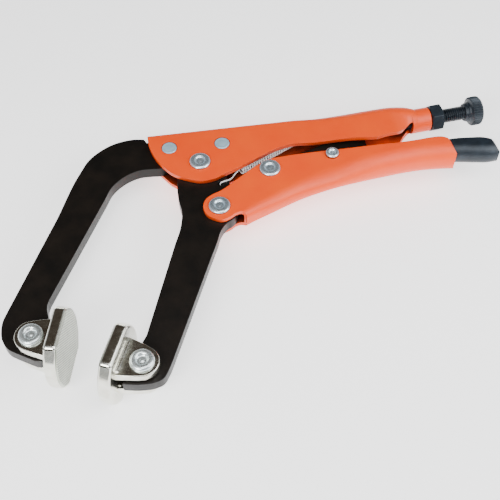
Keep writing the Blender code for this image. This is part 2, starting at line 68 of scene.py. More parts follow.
# Places and sizes are in millimetres of the tool's frame, and creases and arc steps in degrees.
PIN_BORE = 4.3
LEVER_BORE = 2.5
FLUSH_BORE = 5.3
FRONT_RIVET = (-17.7, 16.7)
REAR_RIVET = (17.7, 12.8)
FIXED_PAD = (-120.0, -109.6)
MOVING_PAD = (-61.0, -140.4)
SCREW_AXIS = (0.0, 8.4)
SPRING_HOLE = (9.6, -18.6)
SPRING_BORE = 1.5
TRIM_REACH = 20.0
DRILL_REACH = 30.0
WELD = 0.01
ARC_STEP = 15
PRESSED_CREASE = 35.0
TURNED_CREASE = 40.0
WIDE_ROUNDING = 1.0

Pair = tuple[float, float]
Triple = tuple[float, float, float]
Outline = list[tuple[float, float, bool]]
Piece = bpy.types.Object
Material = bpy.types.Material
Socket = bpy.types.NodeSocket


class Web(Enum):
    """Side of a pressed channel that its web is on."""

    BACK = 1
    PALM = -1


class Cut(Enum):
    """What a tool solid does to a piece."""

    KEEP_SHARED = "INTERSECT"
    REMOVE = "DIFFERENCE"


def pivot(joint: str) -> Pair:
    """Place of a hinge in the tool's frame.

    Args:
        joint: The joint's name in the record.

    Returns:
        Its x and y in millimetres from the jaw pivot.
    """
    place = (np.array(JOINTS[joint]["pos_m"]) - ORIGIN) / MM
    return float(place[0]), float(place[1])


def linked(name: str, data: bpy.types.ID) -> Piece:
    """Make an object and put it in the scene.

    Args:
        name: The object's name.
        data: Its mesh, curve, lamp or camera.

    Returns:
        The new object.
    """
    obj = bpy.data.objects.new(name, data)
    bpy.context.scene.collection.objects.link(obj)
    return obj


def mesh_object(name: str, points: np.ndarray, faces: np.ndarray | list) -> Piece:
    """Make a linked object from points in tool millimetres.

    Args:
        name: The object's name.
        points: Rows of x, y, z.
        faces: Faces as rows of point numbers.

    Returns:
        The new object, at the origin of the row frame.
    """
    mesh = bpy.data.meshes.new(name)
    mesh.from_pydata((ORIGIN + np.asarray(points) * MM).tolist(), [], [list(map(int, f)) for f in faces])
    mesh.update()
    return linked(name, mesh)


def grid_faces(rows: int, columns: int, wrap_rows: bool = False,
               wrap_columns: bool = False) -> np.ndarray:
    """Quads of a grid of points.

    Args:
        rows: Number of rows.
        columns: Number of points in a row.
        wrap_rows: Join the last row to the first.
        wrap_columns: Join the last column to the first.

    Returns:
        Rows of four point numbers.
    """
    r = np.arange(rows if wrap_rows else rows - 1)[:, None]
    c = np.arange(columns if wrap_columns else columns - 1)[None, :]
    r2, c2 = (r + 1) % rows, (c + 1) % columns
    quads = [r * columns + c, r2 * columns + c, r2 * columns + c2, r * columns + c2]
    return np.stack([np.broadcast_to(q, (r.size, c.size)) for q in quads], axis=-1).reshape(-1, 4)


def folded_sheet(name: str, rings: np.ndarray) -> Piece:
    """Closed sheet from rings that run out along one side of it and back along the other.

    Args:
        name: The object's name.
        rings: Array of rings by points by (x, y, z).

    Returns:
        The sheet, with quads between its two sides at the first and last ring.
    """
    rows, size = rings.shape[:2]
    near = np.arange(size // 2 - 1)
    cap = np.stack([near, near + 1, size - 2 - near, size - 1 - near], axis=1)
    faces = np.vstack([grid_faces(rows, size, wrap_columns=True), cap, cap + (rows - 1) * size])
    return tidy(mesh_object(name, rings.reshape(-1, 3), faces), outward=True)


def full_turn(steps: int) -> np.ndarray:
    """Angles of a full turn.

    Args:
        steps: Number of angles.

    Returns:
        The angles in radians, from 0 to one step before the full turn.
    """
    return np.linspace(0, 2 * math.pi, steps, endpoint=False)


def turned_points(profile: np.ndarray, turns: np.ndarray, wave: np.ndarray | float = 0.0) -> np.ndarray:
    """Points of a turned form: each profile point swept round the axis, its radius moved by wave.

    Args:
        profile: Rows of radius and height.
        turns: Angles round the axis.
        wave: Added to the radius, one value for each profile point and angle.

    Returns:
        Array of profile points by angles by (radial cosine, radial sine, height).
    """
    size = (len(profile), len(turns))
    radius = np.broadcast_to(profile[:, :1] + wave, size)
    height = np.broadcast_to(profile[:, 1:2], size)
    return np.stack([radius * np.cos(turns), radius * np.sin(turns), height], axis=-1)


def turned(name: str, profile: np.ndarray, centre: Pair, steps: int, along_x: bool = False,
           wave: np.ndarray | float = 0.0, closed: bool = False) -> Piece:
    """A turned piece from a profile that runs from axis to axis, or from a closed ring profile.

    Args:
        name: The object's name.
        profile: Rows of radius and height.
        centre: The axis's x and y for a pin, or 0 and y for a piece along the screw.
        steps: Points round the axis.
        along_x: Lay the axis along +X.
        wave: Added to the radius of each point.
        closed: The profile is a ring.

    Returns:
        The new object, smooth shaded.
    """
    points = turned_points(profile, full_turn(steps), wave)
    if along_x:
        points = points[..., [2, 0, 1]]
    points = points + np.array([centre[0], centre[1], 0.0])
    faces = grid_faces(len(profile), steps, closed, True)
    obj = mesh_object(name, points.reshape(-1, 3), faces)
    return smooth(tidy(obj, outward=True), TURNED_CREASE)


def tidy(obj: Piece, outward: bool = False) -> Piece:
    """Merge doubled points and dissolve slivers of a mesh.

    Args:
        obj: The object.
        outward: Turn all faces outwards as well.

    Returns:
        The same object.
    """
    work = bmesh.new()
    work.from_mesh(obj.data)
    bmesh.ops.remove_doubles(work, verts=work.verts, dist=WELD * MM)
    bmesh.ops.dissolve_degenerate(work, edges=work.edges, dist=WELD * MM)
    if outward:
        bmesh.ops.recalc_face_normals(work, faces=work.faces)
    work.to_mesh(obj.data)
    work.free()
    return obj


def smooth(obj: Piece, angle: float) -> Piece:
    """Shade a piece smooth, with edges over an angle in degrees kept sharp and flat faces left flat.

    Args:
        obj: The object.
        angle: The sharpest smooth edge.

    Returns:
        The same object.
    """
    obj.data.shade_smooth()
    obj.data.set_sharp_from_angle(angle=math.radians(angle))
    weigh = obj.modifiers.new("flat_faces", "WEIGHTED_NORMAL")
    weigh.weight = 100
    weigh.keep_sharp = True
    return applied(obj)


def applied(obj: Piece) -> Piece:
    """Turn an object's modifiers into its mesh.

    Args:
        obj: The object.

    Returns:
        The same object without modifiers.
    """
    bpy.context.view_layer.update()
    graph = bpy.context.evaluated_depsgraph_get()
    mesh = bpy.data.meshes.new_from_object(obj.evaluated_get(graph))
    obj.modifiers.clear()
    obj.data = mesh
    return obj


def soften(obj: Piece, width: float, segments: int = 2, angle: float = 40.0) -> Piece:
    """Round the sharp edges of a piece as tumbling does.

    Args:
        obj: The object.
        width: Width of the rounding in millimetres.
        segments: Facets across it.
        angle: Edges sharper than this are rounded.

    Returns:
        The same object.
    """
    bevel = obj.modifiers.new("soft_edge", "BEVEL")
    bevel.width = width * MM
    bevel.segments = segments
    bevel.limit_method = "ANGLE"
    bevel.angle_limit = math.radians(angle)
    bevel.use_clamp_overlap = width < WIDE_ROUNDING
    applied(obj)
    return smooth(obj, 50.0)


def transformed(obj: Piece, matrix: Matrix) -> Piece:
    """Move the points of a piece by a matrix in the tool's frame.

    Args:
        obj: The piece.
        matrix: Turn about the tool's origin, and shift in metres.

    Returns:
        The same object.
    """
    origin = Matrix.Translation(Vector(ORIGIN))
    obj.data.transform(origin @ matrix @ origin.inverted())
    return obj


def worked(obj: Piece, tool: Piece, how: Cut) -> Piece:
    """Trim a piece with a tool solid, and remove the tool.

    Args:
        obj: The piece.
        tool: The tool solid.
        how: What the tool does.

    Returns:
        The same piece.
    """
    cut = obj.modifiers.new("cut", "BOOLEAN")
    cut.operation = how.value
    cut.object = tool
    applied(obj)
    bpy.data.objects.remove(tool)
    return tidy(obj)


def flow(stations: np.ndarray, x: np.ndarray) -> np.ndarray:
    """Values at x on a cubic curve through the stations, whose first column is x.

    Args:
        stations: Rows of x and the values there.
        x: Places to read.

    Returns:
        One row of values for each place, x first.
    """
    places = stations[:, 0]
    slopes = np.gradient(stations, places, axis=0)
    index = np.clip(np.searchsorted(places, x, side="right") - 1, 0, len(places) - 2)
    span = (places[index + 1] - places[index])[:, None]
    t = (x - places[index])[:, None] / span
    head = (1 + 2 * t) * (1 - t) ** 2 * stations[index] + t * (1 - t) ** 2 * span * slopes[index]
    tail = t * t * (3 - 2 * t) * stations[index + 1] + t * t * (t - 1) * span * slopes[index + 1]
    return head + tail


def smooth_loop(corners: Outline, step: float = 0.8) -> np.ndarray:
    """Closed outline through points, each a soft point or a corner.

    Between soft points it is a cubic whose slopes come from the neighbours; at a corner the slope
    points along the straight line to the next point.

    Args:
        corners: Points as x, y and whether it is a corner.
        step: Spacing along the curve.

    Returns:
        Rows of x and y.
    """
    place = np.array([point[:2] for point in corners], dtype=float)
    sharp = np.array([point[2] for point in corners])
    after = np.roll(place, -1, axis=0)
    chord = after - place
    length = np.linalg.norm(chord, axis=1)
    before_length = np.roll(length, 1)
    unit = chord / length[:, None]
    before_unit = np.roll(unit, 1, axis=0)
    weight = (before_length / (before_length + length))[:, None]
    slope = before_unit * (1 - weight) + unit * weight
    slope /= np.linalg.norm(slope, axis=1)[:, None]
    pieces = []
    for i in range(len(place)):
        j = (i + 1) % len(place)
        count = 1 if sharp[i] and sharp[j] else max(2, int(length[i] / step))
        t = np.linspace(0, 1, count, endpoint=False)[:, None]
        leave = (unit[i] if sharp[i] else slope[i]) * length[i]
        arrive = (unit[i] if sharp[j] else slope[j]) * length[i]
        head = (1 + 2 * t) * (1 - t) ** 2 * place[i] + t * (1 - t) ** 2 * leave
        pieces.append(head + t * t * (3 - 2 * t) * place[j] + t * t * (t - 1) * arrive)
    return np.vstack(pieces)


def prism(name: str, loop: np.ndarray, low: float, high: float) -> Piece:
    """A flat plate: the outline carried from one height to another.

    Args:
        name: The object's name.
        loop: Outline as rows of x and y.
        low: Lower face.
        high: Upper face.

    Returns:
        The closed plate.
    """
    count = len(loop)
    points = np.vstack([np.column_stack([loop, np.full(count, z)]) for z in (low, high)])
    around = np.arange(count)
    following = (around + 1) % count
    sides = np.stack([around, following, following + count, around + count], axis=1).tolist()
    caps = [around[::-1].tolist(), (around + count).tolist()]
    return tidy(mesh_object(name, points, sides + caps), outward=True)


def plan_prism(end: Outline) -> Piece:
    """A trimming solid that rounds the rear end of a handle, seen from its palm side.

    Args:
        end: Outline of the rounded end as x and z.

    Returns:
        The solid, which reaches far past the tool's other sides.
    """
    front, side, palm, back = -60, 30, -60, 90
    start = end[0][0] - 1
    loop = smooth_loop(sharp((front, -side), (start, -side)) + end + sharp((start, side), (front, side)))
    return transformed(prism("plan", loop, palm, back), Matrix.Rotation(math.radians(90.0), 4, "X"))


def circle(centre: Pair, radius: float, start: float, end: float) -> Outline:
    """Soft points on an arc, about one for each ARC_STEP degrees.

    Args:
        centre: Centre of the arc.
        radius: Its radius.
        start: First angle in degrees.
        end: Last angle.

    Returns:
        Outline points.
    """
    angles = np.radians(np.linspace(start, end, max(2, round(abs(end - start) / ARC_STEP) + 1)))
    return [(centre[0] + radius * math.cos(a), centre[1] + radius * math.sin(a), False) for a in angles]


def soft(*points: Pair) -> Outline:
    """Outline points without corners.

    Args:
        points: Their x and y.

    Returns:
        Outline points.
    """
    return [(x, y, False) for x, y in points]


def sharp(*points: Pair) -> Outline:
    """Outline points that are corners.

    Args:
        points: Their x and y.

    Returns:
        Outline points.
    """
    return [(x, y, True) for x, y in points]


@dataclass
class Channel:
    """Pressed sheet channel with elliptic corners.

    Stations are rows of x, half width, corner width, corner height, web y, cheek length and curl.
    """

    stations: list[tuple[float, ...]]
    web: Web
    wall: float
    step: float = 1.5
    facets: int = 18
    least: float = 0.4

    def build(self, name: str) -> Piece:
        """Carry the closed section from rib to rib.

        A corner is a quarter ellipse continued by the curl angle, the cheek goes on straight, and
        the inner line keeps the wall's thickness from the outer one.

        Args:
            name: The object's name.

        Returns:
            The closed channel.
        """
        table = np.array(self.stations, dtype=float)
        count = round((table[-1, 0] - table[0, 0]) / self.step) + 1
        x, half, wide, high, web_y, cheek, curl = flow(table, np.linspace(table[0, 0], table[-1, 0], count)).T
        turn = np.radians(-curl[:, None] + (90 + curl[:, None]) * np.linspace(0, 1, self.facets))
        outer = self._corner(half, wide, high, turn, 0.0)
        inner_wide, inner_high = (np.maximum(size - self.wall, self.least) for size in (wide, high))
        inner = self._corner(half - self.wall, inner_wide, inner_high, turn, self.wall)
        down = np.stack([wide * np.sin(turn[:, 0]), -high * np.cos(turn[:, 0])], axis=1)
        down /= np.linalg.norm(down, axis=1)[:, None]
        rim = outer[:, 0] + cheek[:, None] * down
        inner_rim = rim + self.wall * np.stack([down[:, 1], -down[:, 0]], axis=1)
        outer = np.concatenate([rim[:, None], outer], axis=1)
        inner = np.concatenate([inner_rim[:, None], inner], axis=1)
        mirror = np.array([-1.0, 1.0])
        ring = np.concatenate([outer, (outer * mirror)[:, ::-1], inner * mirror, inner[:, ::-1]], axis=1)
        y = web_y[:, None] + self.web.value * ring[..., 1]
        points = np.stack([np.broadcast_to(x[:, None], y.shape), y, ring[..., 0]], axis=-1)
        return folded_sheet(name, points)

    @staticmethod
    def _corner(half: np.ndarray, wide: np.ndarray, high: np.ndarray, turn: np.ndarray,
                drop: float) -> np.ndarray:
        """Quarter ellipse between cheek and web at every rib.

        Args:
            half: Half width at each rib.
            wide: Ellipse width.
            high: Ellipse height.
            turn: Angles, one row for each rib.
            drop: Distance of the web's face below the channel's top.

        Returns:
            Array of ribs by angles by (across, up).
        """
        across = (half - wide)[:, None] + wide[:, None] * np.cos(turn)
        up = high[:, None] * np.sin(turn) - high[:, None] - drop
        return np.stack([across, up], axis=-1)


@dataclass(frozen=True)
class Grain:
    """Noise: features per metre, octaves, strength of the finer ones and stretch along each axis."""

    scale: float
    detail: float = 4.0
    rough: float = 0.55
    stretch: Triple = (1.0, 1.0, 1.0)


class Paint:
    """Small helper that wires the nodes of one finish."""

    def __init__(self, name: str, edge: float = 0.15) -> None:
        """Start a material with a Principled shader.

        Args:
            name: The material's name.
            edge: Radius in millimetres that its edges look rounded to.
        """
        self.edge = edge
        self.material = bpy.data.materials.new(name)
        self.material.use_nodes = True
        self.nodes = self.material.node_tree.nodes
        self.links = self.material.node_tree.links
        self.shader = self.nodes["Principled BSDF"]
        self.place = self.nodes.new("ShaderNodeTexCoord").outputs["Object"]

    def noise(self, grain: Grain) -> Socket:
        """Noise on object coordinates.

        Args:
            grain: The noise's scale and character.

        Returns:
            The noise value's socket.
        """
        mapping = self.nodes.new("ShaderNodeMapping")
        mapping.inputs["Scale"].default_value = grain.stretch
        self.links.new(self.place, mapping.inputs["Vector"])
        texture = self.nodes.new("ShaderNodeTexNoise")
        texture.inputs["Scale"].default_value = grain.scale
        texture.inputs["Detail"].default_value = grain.detail
        texture.inputs["Roughness"].default_value = grain.rough
        self.links.new(mapping.outputs["Vector"], texture.inputs["Vector"])
        return texture.outputs["Fac"]

    def ramp(self, value: Socket, *stops: tuple[float, Triple]) -> Socket:
        """Colours along a value.

        Args:
            value: The value's socket.
            stops: Position and colour of each stop.

        Returns:
            The colour's socket.
        """
        node = self.nodes.new("ShaderNodeValToRGB")
        ramp = node.color_ramp
        while len(ramp.elements) < len(stops):
            ramp.elements.new(0.5)
        for element, (position, colour) in zip(ramp.elements, stops):
            element.position = position
            element.color = (*colour, 1.0)
        self.links.new(value, node.inputs["Fac"])
        return node.outputs["Color"]

    def span(self, value: Socket, low: float, high: float,
             start: float = 0.3, end: float = 0.7) -> Socket:
        """A value spread over a range.

        Args:
            value: The value's socket.
            low: Result at start.
            high: Result at end.
            start: Value that gives low.
            end: Value that gives high.

        Returns:
            The result's socket.
        """
        node = self.nodes.new("ShaderNodeMapRange")
        for name, number in (("From Min", start), ("From Max", end), ("To Min", low), ("To Max", high)):
            node.inputs[name].default_value = number
        self.links.new(value, node.inputs["Value"])
        return node.outputs["Result"]

    def painted_recess_shade(self, colour: Socket, dark: Triple,
                 reach: float) -> Socket:
        """Painted shade: the colour darkens where the surface is closed in by its neighbours, as ambient
        occlusion finds them.

        Args:
            colour: Colour of the open surface.
            dark: Colour of the painted shade deep in a hollow.
            reach: Distance in millimetres within which neighbours count.

        Returns:
            The mixed colour's socket.
        """
        hidden = self.nodes.new("ShaderNodeAmbientOcclusion")
        hidden.samples = 8
        hidden.inputs["Distance"].default_value = reach * MM
        mix = self.nodes.new("ShaderNodeMix")
        mix.data_type = "RGBA"
        # Painted shade, mixed over the open colour by ambient occlusion.
        mix.inputs[6].default_value = (*dark, 1.0)
        self.links.new(self.span(hidden.outputs["AO"], 0.0, 1.0, 0.35, 0.75), mix.inputs[0])
        self.links.new(colour, mix.inputs[7])
        return mix.outputs[2]

    def bump(self, *layers: tuple[Socket, float]) -> None:
        """Raise the surface by one or more heights.

        Args:
            layers: Height socket and its full height in millimetres.
        """
        edge = self.nodes.new("ShaderNodeBevel")
        edge.samples = 4
        edge.inputs["Radius"].default_value = self.edge * MM
        normal = edge.outputs["Normal"]
        for height, size in layers:
            node = self.nodes.new("ShaderNodeBump")
            node.inputs["Strength"].default_value = 1.0
            node.inputs["Distance"].default_value = size * MM
            self.links.new(height, node.inputs["Height"])
            self.links.new(normal, node.inputs["Normal"])
            normal = node.outputs["Normal"]
        self.links.new(normal, self.shader.inputs["Normal"])

    def set(self, values: dict[str, float]) -> None:
        """Set plain values on the shader.

        Args:
            values: Value of each input, by the input's name.
        """
        for name, value in values.items():
            self.shader.inputs[name].default_value = value

    def join(self, socket: Socket, name: str) -> None:
        """Wire a socket to the shader.

        Args:
            socket: The socket.
            name: The shader's input.
        """
        self.links.new(socket, self.shader.inputs[name])


@dataclass(frozen=True)
class Finish:
    """A clouded colour, a roughness that follows a grain, and fine relief.

    The relief is a noise and its height in millimetres for each layer. The cloud's ramp lies
    between the stops, and the grain values of the spread give the least and most roughness. The
    painted shade of hollows is the colour that closed-in places darken to, and how near in
    millimetres their neighbours are.
    """

    name: str
    shade: Triple
    light: Triple
    cloud: Grain
    grain: Grain
    rough: Pair
    relief: tuple[tuple[Grain, float], ...]
    values: dict[str, float]
    stops: Pair = (0.3, 0.7)
    spread: Pair = (0.3, 0.7)
    recess_shade: tuple[Triple, float] | None = None
    edge: float = 0.15

    def make(self) -> Material:
        """Build the material.

        Returns:
            The material.
        """
        paint = Paint(self.name, self.edge)
        grains = dict.fromkeys((self.cloud, self.grain, *(layer for layer, _ in self.relief)))
        noises = {grain: paint.noise(grain) for grain in grains}
        colour = paint.ramp(noises[self.cloud], (self.stops[0], self.shade), (self.stops[1], self.light))
        # Painted shade in closed-in places, where the finish has one.
        if self.recess_shade:
            colour = paint.painted_recess_shade(colour, *self.recess_shade)
        paint.join(colour, "Base Color")
        paint.join(paint.span(noises[self.grain], *self.rough, *self.spread), "Roughness")
        paint.set(self.values)
        paint.bump(*((noises[layer], height) for layer, height in self.relief))
        return paint.material


def plating(name: str, light: Triple, shade: Triple, rough: Pair, metal: float) -> Finish:
    """Bright zinc, with soft clouds in its colour and fine scratches.

    Args:
        name: The material's name.
        light: Colour in the lighter clouds.
        shade: Colour in the darker clouds.
        rough: Least and most roughness.
        metal: Share of metal.

    Returns:
        The finish.
    """
    cloud, scratch = Grain(150.0, 4.0, 0.6), Grain(800.0, 6.0, 0.7, (0.3, 1.0, 1.0))
    relief = ((scratch, 0.02), (cloud, 0.06))
    return Finish(name, shade, light, cloud, scratch, rough, relief, {"Metallic": metal})


def grip_face(light: Triple, shade: Triple) -> Finish:
    """Plated gripping face, with painted shade in the valleys of its serrations.

    Args:
        light: Colour in the lighter clouds.
        shade: Colour in the darker clouds.

    Returns:
        The finish.
    """
    grain = Grain(900.0, 4.0, 0.6)
    return Finish("pad_face_painted_shade", shade, light, Grain(200.0, 4.0, 0.6), grain, (0.26, 0.42), ((grain, 0.02),),
                  {"Metallic": 0.9}, recess_shade=((0.20, 0.20, 0.17), 0.8), edge=0.05)


# Satin powder coat with orange peel and a few handling marks, and painted shade darkening its hollows such as
# the troughs of the handles.
POWDER_COAT = Finish(
    "orange_powder_coat", (0.90, 0.066, 0.0), (0.95, 0.088, 0.001), Grain(45.0, 3.0),
    Grain(420.0, 6.0, 0.7, (0.35, 1.0, 1.0)), (0.36, 0.50),
    ((Grain(1500.0, 2.0), 0.035), (Grain(260.0, 2.0), 0.06)),
    {"Coat Weight": 0.12, "Coat Roughness": 0.25, "IOR": 1.42}, stops=(0.3, 0.75), spread=(0.35, 0.75),
    recess_shade=((0.07, 0.008, 0.002), 14.0), edge=0.8)
# Blackened steel, near black on the faces with brown clouds, its grain drawn along the pins.
OXIDE_GRAIN = Grain(900.0, 5.0, 0.65, (1.0, 1.0, 0.25))
BLACK_OXIDE = Finish(
    "black_oxide", (0.0045, 0.0038, 0.0032), (0.011, 0.008, 0.006), Grain(70.0, 5.0, 0.6), OXIDE_GRAIN,
    (0.30, 0.46), ((OXIDE_GRAIN, 0.05), (Grain(160.0, 3.0), 0.08)), {"Specular IOR Level": 0.28},
    stops=(0.35, 0.72))
# Bluish black phosphate with a dry, slightly speckled grain.
SPECKLE, DRY_CLOUD = Grain(1400.0, 4.0, 0.6), Grain(120.0, 6.0, 0.65)
PHOSPHATE = Finish(
    "dark_phosphate", (0.007, 0.012, 0.018), (0.018, 0.028, 0.040), DRY_CLOUD, SPECKLE, (0.32, 0.48),
    ((SPECKLE, 0.03), (DRY_CLOUD, 0.05)), {"Metallic": 0.35, "IOR": 1.6}, stops=(0.35, 0.7), edge=0.3)
ZINC = plating("bright_zinc", (0.80, 0.92, 1.0), (0.60, 0.76, 0.88), (0.20, 0.34), 0.86)
GROUND = plating("ground_zinc", (0.58, 0.82, 0.96), (0.44, 0.68, 0.84), (0.34, 0.50), 0.55)
CREAM = plating("pad_zinc", (0.86, 0.86, 0.79), (0.66, 0.64, 0.55), (0.14, 0.26), 1.0)
PAD_RIVET = plating("pad_rivet_zinc", (0.84, 0.92, 0.93), (0.68, 0.74, 0.74), (0.20, 0.32), 0.84)
WIRE = plating("spring_wire", (0.50, 0.52, 0.55), (0.22, 0.23, 0.25), (0.15, 0.28), 1.0)
# The gripping face, and a darker copy of it used as painted shade on one side of every tooth.
GRIP = grip_face((0.62, 0.65, 0.57), (0.50, 0.53, 0.45))
GRIP_SHADED_SIDE = grip_face((0.30, 0.31, 0.27), (0.20, 0.21, 0.18))


@dataclass
class Finishes:
    """The tool's finishes, one material each."""

    orange: Material = field(default_factory=POWDER_COAT.make)
    black: Material = field(default_factory=BLACK_OXIDE.make)
    zinc: Material = field(default_factory=ZINC.make)
    ground: Material = field(default_factory=GROUND.make)
    cream: Material = field(default_factory=CREAM.make)
    rivet: Material = field(default_factory=PAD_RIVET.make)
    grip: Material = field(default_factory=GRIP.make)
    grip_shaded_side: Material = field(default_factory=GRIP_SHADED_SIDE.make)
    wire: Material = field(default_factory=WIRE.make)
    phosphate: Material = field(default_factory=PHOSPHATE.make)


def dress(obj: Piece, material: Material, body: str, slot: str, *nodes: str) -> None:
    """Give a finished piece its material, its body and the nodes that it stands for.

    Args:
        obj: The piece.
        material: Its finish.
        body: Body that it rides on.
        slot: Material slot of the record; not used.
        nodes: Nodes that it replaces.
    """
    obj.data.materials.clear()
    obj.data.materials.append(material)
    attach(obj, body)
    if nodes:
        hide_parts(*nodes)
    LOG.info("%s: %d faces on %s", obj.name, len(obj.data.polygons), body)


def moved(obj: Piece, spot: Pair, angle: float) -> Piece:
    """Turn a piece built round the tool's origin about the pin axis and carry it to a spot.

    Args:
        obj: The piece.
        spot: Its new centre.
        angle: Turn in degrees.

    Returns:
        The same object.
    """
    shift = Matrix.Translation(Vector((spot[0] * MM, spot[1] * MM, 0.0)))
    return transformed(obj, shift @ Matrix.Rotation(math.radians(angle), 4, "Z"))


def joined(first: Piece, *others: Piece) -> Piece:
    """Put the meshes of several pieces in the first one.

    Args:
        first: The piece that stays.
        others: Pieces that are added to it and removed.

    Returns:
        The first piece.
    """
    work = bmesh.new()
    for obj in (first, *others):
        work.from_mesh(obj.data)
    work.to_mesh(first.data)
    work.free()
    for obj in others:
        bpy.data.objects.remove(obj)
    return first


def drilled(obj: Piece, *bores: tuple[Pair, float]) -> Piece:
    """Cut round holes through a piece.

    Args:
        obj: The piece.
        bores: Centre and radius of each hole.

    Returns:
        The same piece.
    """
    turn = full_turn(48)
    ring = np.column_stack([np.cos(turn), np.sin(turn)])
    drills = [prism("drill", centre + radius * ring, -DRILL_REACH, DRILL_REACH) for centre, radius in bores]
    return worked(obj, joined(*drills), Cut.REMOVE)


def pressed(sheet: Channel, name: str, side: np.ndarray, end: Outline = ()) -> Piece:
    """Press a channel and trim it to its side outline and, where it has one, its rounded end.

    Args:
        sheet: The channel.
        name: The piece's name.
        side: Side outline as rows of x and y.
        end: Rounded rear end as x and z.

    Returns:
        The pressed piece.
    """
    obj = worked(sheet.build(name), prism("side", side, -TRIM_REACH, TRIM_REACH), Cut.KEEP_SHARED)
    return worked(obj, plan_prism(end), Cut.KEEP_SHARED) if end else obj


@dataclass
class Handles:
    """The two pressed handles."""

    finishes: Finishes
    wall: float = 2.9
    collar_x: Pair = (150.6, 164.4)
    collar_radius: float = 8.3
    collar_bore: float = 5.3
    collar_rim: float = 0.7

    def upper(self) -> None:
        """Upper handle: open below, rounded behind, closed into the threaded collar."""
        sheet = Channel([
            (-38, 7.3, 3.3, 3.3, 32.7, 54, 0), (56, 7.3, 3.3, 3.3, 24.9, 46, 0),
            (71, 7.3, 3.3, 3.3, 23.6, 44, 0), (84, 8.0, 5.5, 6.0, 22.5, 30, 0),
            (104, 10.0, 9.8, 9.8, 22.2, 24, 0), (118, 10.0, 9.8, 9.8, 22.2, 21, 0),
            (127, 10.0, 9.8, 9.8, 22.1, 19.5, 0), (138, 9.9, 9.7, 9.7, 21.6, 17, 4),
            (145, 9.5, 9.3, 9.3, 20.4, 8.5, 22), (150, 9.0, 8.8, 8.8, 19.0, 2.0, 42),
            (154, 8.6, 8.4, 8.4, 17.0, 0.8, 50),
        ], Web.BACK, self.wall)
        side = smooth_loop(
            sharp((-29.4, 40))
            + soft((-30.6, 20), (-28.1, 8.9), (-24.1, 0.8), (-20.5, -5), (-11.2, -12.5),
                   (-2, -16.6), (6.3, -16.6), (15, -13.6), (24.1, -10.6), (40, -4.8), (54.7, 0.2),
                   (66, 1.2), (76.8, -0.9), (99, -4.3))
            + sharp((122.5, -8.4), (124, -16), (170, -16), (170, 40)))
        obj = pressed(sheet, "upper_handle_shell", side)
        drilled(obj, (pivot("jaw_opening"), PIN_BORE), (FRONT_RIVET, FLUSH_BORE), (REAR_RIVET, FLUSH_BORE))
        (first, last), radius, rim = self.collar_x, self.collar_radius, self.collar_rim
        arc = np.radians(np.linspace(0, 90, 6))
        corner = np.column_stack([radius - rim + rim * np.sin(arc), last - rim + rim * np.cos(arc)])
        ring = np.vstack([corner, [(radius, first), (self.collar_bore, first), (self.collar_bore, last)]])
        collar = turned("collar", ring, SCREW_AXIS, 72, along_x=True, closed=True)
        tongue = np.array([(76.3, 11.0), (78.7, 11.0), (78.7, 21.5), (76.3, 21.5)])
        joined(obj, collar, prism("tongue", tongue, -1.2, 1.2))
        smooth(obj, PRESSED_CREASE)
        dress(obj, self.finishes.orange, "frame", "orange_powder_coat", "upper_handle")

    def lower(self) -> None:
        """Lower handle: flat cheeks in front, half-round grip behind, open above."""
        sheet = Channel([
            (-12, 7.3, 3.3, 3.3, -64, 50, 0), (10, 7.3, 3.6, 3.6, -54.2, 45, 0),
            (22, 7.3, 4.5, 5.4, -49.9, 40, 0), (38, 7.4, 6.2, 7.5, -45.6, 38, 0),
            (61, 7.6, 7.2, 9.6, -39.2, 34, 0), (78, 7.6, 7.4, 12.0, -36.5, 26, 0),
            (90, 8.0, 7.8, 12.0, -35.0, 18, 0), (100, 9.4, 9.2, 12.0, -33.9, 13, 0),
            (118, 10.8, 10.6, 11.0, -32.5, 7.0, 0), (132, 11.0, 10.8, 10.8, -32.0, 5.0, 0),
            (146, 11.0, 10.8, 10.8, -32.5, 5.0, 0), (160, 11.0, 10.8, 10.8, -34.3, 7.5, 0),
            (172, 11.0, 10.8, 10.8, -36.6, 10.0, 0),
        ], Web.PALM, self.wall)
        side = smooth_loop(
            circle(pivot("handle_swing"), 10.4, 115, 240)
            + soft((3.6, -50.9), (9.1, -49.9), (14.2, -47.4), (17.6, -47.2), (19.8, -49.4))
            + sharp((20.3, -53), (20.3, -70), (152, -70), (153.5, -40))
            + soft((162, -38.5), (167.6, -34.5), (169.2, -28.5), (167.6, -23), (163, -19), (156, -17.9),
                   (146, -17.8), (132, -17.2), (118, -15.6), (104, -13.8), (94, -11.9), (80, -9.9),
                   (68, -9.0), (56, -8.5), (44, -9.0), (36, -12.0), (23.4, -18.9), (8.2, -27.4)))
        plan = soft((163, -13), (166.6, -10.4), (168.9, -6), (169.6, 0), (168.9, 6), (166.6, 10.4), (163, 13))
        obj = pressed(sheet, "lower_handle_shell", side, plan)
        drilled(obj, (pivot("handle_swing"), PIN_BORE), (pivot("link_swing"), PIN_BORE),
                (pivot("lever_squeeze"), LEVER_BORE))
        smooth(obj, PRESSED_CREASE)
        dress(obj, self.finishes.orange, "handle", "orange_powder_coat", "lower_handle")


